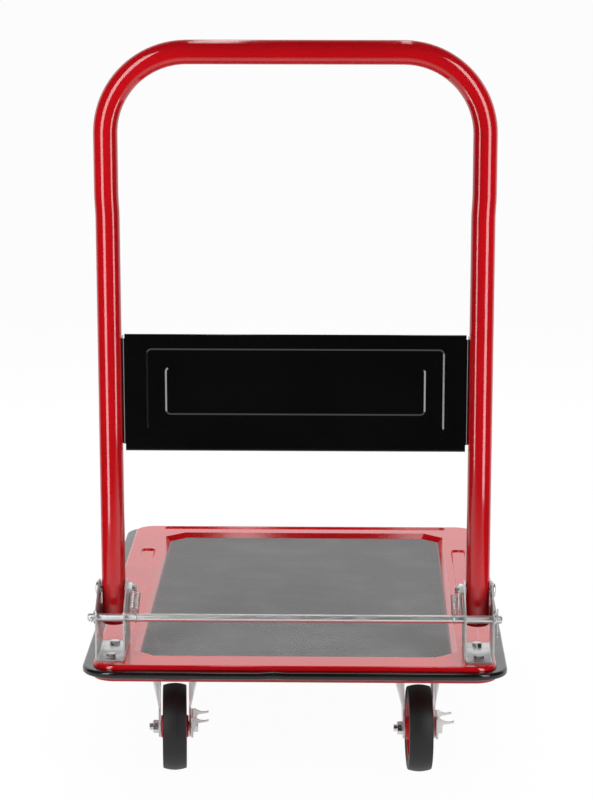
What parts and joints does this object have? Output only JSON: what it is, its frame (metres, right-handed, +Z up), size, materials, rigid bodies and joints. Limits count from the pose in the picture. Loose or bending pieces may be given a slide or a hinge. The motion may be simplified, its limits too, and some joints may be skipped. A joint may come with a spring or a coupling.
{
  "type": "folding platform trolley",
  "caption": "Steel platform hand trolley: dished deck with a pebbled mat and rubber bumper, fold-down tube handle with a foot-lock bar, swivel casters with brakes and fixed casters.",
  "frame": {"origin": "on the floor under the middle of the platform", "axes": "+Z up, +Y from the handle end to the far end, +X to the right of a person who pushes the trolley"},
  "size_m": [0.48, 0.74, 0.8369],
  "materials": {
    "red_enamel": "gloss",
    "black_enamel": "gloss",
    "mat_rubber": "pebbled",
    "bumper_rubber": "satin",
    "channel_steel": "gloss",
    "zinc_plate": "bright zinc",
    "zinc_hardware": "bright zinc",
    "spring_wire": "bright zinc",
    "ball_steel": "polished",
    "tyre_rubber": "satin",
    "core_plastic": "satin"
  },
  "bodies": {
    "chassis": {"deck_panel": "red_enamel", "anti_slip_mat": "mat_rubber", "edge_bumper": "bumper_rubber", "swivel_end_channel": "channel_steel", "fixed_end_channel": "channel_steel", "left_hinge_bracket": "zinc_plate", "right_hinge_bracket": "zinc_plate", "bracket_bolts": "zinc_hardware", "bracket_nuts": "zinc_hardware", "pivot_bolts": "zinc_hardware", "pivot_nuts": "zinc_hardware", "pivot_washers": "zinc_hardware", "left_lock_spring": "spring_wire", "right_lock_spring": "spring_wire", "caster_bolts": "zinc_hardware", "caster_nuts": "zinc_hardware", "left_swivel_top_plate": "zinc_plate", "right_swivel_top_plate": "zinc_plate", "left_swivel_king_pin": "zinc_hardware", "right_swivel_king_pin": "zinc_hardware", "left_fixed_caster_bracket": "zinc_plate", "right_fixed_caster_bracket": "zinc_plate", "left_fixed_axle_sleeve": "zinc_hardware", "right_fixed_axle_sleeve": "zinc_hardware", "left_fixed_axle_bolt": "zinc_hardware", "right_fixed_axle_bolt": "zinc_hardware", "left_fixed_axle_nut": "zinc_hardware", "right_fixed_axle_nut": "zinc_hardware"},
    "handle": {"handle_tube": "red_enamel", "back_panel": "black_enamel", "panel_rivets": "zinc_hardware"},
    "foot_lock": {"lock_rod": "zinc_hardware", "lock_rod_washers": "zinc_hardware", "lock_rod_split_pins": "zinc_hardware"},
    "left_swivel": {"left_swivel_fork": "zinc_plate", "left_swivel_balls": "ball_steel", "left_swivel_axle_sleeve": "zinc_hardware", "left_swivel_axle_bolt": "zinc_hardware", "left_swivel_axle_nut": "zinc_hardware"},
    "left_swivel_wheel": {"left_swivel_wheel_core": "core_plastic", "left_swivel_wheel_tyre": "tyre_rubber"},
    "left_brake": {"left_swivel_brake_rocker": "zinc_plate"},
    "right_swivel": {"right_swivel_fork": "zinc_plate", "right_swivel_balls": "ball_steel", "right_swivel_axle_sleeve": "zinc_hardware", "right_swivel_axle_bolt": "zinc_hardware", "right_swivel_axle_nut": "zinc_hardware"},
    "right_swivel_wheel": {"right_swivel_wheel_core": "core_plastic", "right_swivel_wheel_tyre": "tyre_rubber"},
    "right_brake": {"right_swivel_brake_rocker": "zinc_plate"},
    "left_fixed_wheel": {"left_fixed_wheel_core": "core_plastic", "left_fixed_wheel_tyre": "tyre_rubber"},
    "right_fixed_wheel": {"right_fixed_wheel_core": "core_plastic", "right_fixed_wheel_tyre": "tyre_rubber"}
  },
  "joints": [
    {"name": "handle_fold", "type": "hinge", "parent": "chassis", "child": "handle", "pos_m": [0, -0.288, 0.2115], "axis": [-1, 0, 0], "range_deg": [0, 99]},
    {"name": "lock_rod_press", "type": "slide", "parent": "chassis", "child": "foot_lock", "axis": [0, 0, -1], "range_m": [0, 0.016], "stiffness_N_per_m": 1500, "springref_m": -0.012, "deforming": ["left_lock_spring", "right_lock_spring"]},
    {"name": "left_swivel_turn", "type": "hinge", "parent": "chassis", "child": "left_swivel", "pos_m": [-0.14, -0.262, 0.1], "axis": [0, 0, 1], "continuous": true},
    {"name": "left_swivel_wheel_spin", "type": "hinge", "parent": "left_swivel", "child": "left_swivel_wheel", "pos_m": [-0.13833, -0.29396, 0.05], "axis": [0.9986, 0.0523, 0], "continuous": true},
    {"name": "left_brake_press", "type": "hinge", "parent": "left_swivel", "child": "left_brake", "pos_m": [-0.13833, -0.29396, 0.05], "axis": [0.9986, 0.0523, 0], "range_deg": [0, 18]},
    {"name": "right_swivel_turn", "type": "hinge", "parent": "chassis", "child": "right_swivel", "pos_m": [0.14, -0.262, 0.1], "axis": [0, 0, 1], "continuous": true},
    {"name": "right_swivel_wheel_spin", "type": "hinge", "parent": "right_swivel", "child": "right_swivel_wheel", "pos_m": [0.14167, -0.29396, 0.05], "axis": [0.9986, 0.0523, 0], "continuous": true},
    {"name": "right_brake_press", "type": "hinge", "parent": "right_swivel", "child": "right_brake", "pos_m": [0.14167, -0.29396, 0.05], "axis": [0.9986, 0.0523, 0], "range_deg": [0, 18]},
    {"name": "left_fixed_wheel_spin", "type": "hinge", "parent": "chassis", "child": "left_fixed_wheel", "pos_m": [-0.14, 0.262, 0.05], "axis": [1, 0, 0], "continuous": true},
    {"name": "right_fixed_wheel_spin", "type": "hinge", "parent": "chassis", "child": "right_fixed_wheel", "pos_m": [0.14, 0.262, 0.05], "axis": [1, 0, 0], "continuous": true}
  ]
}
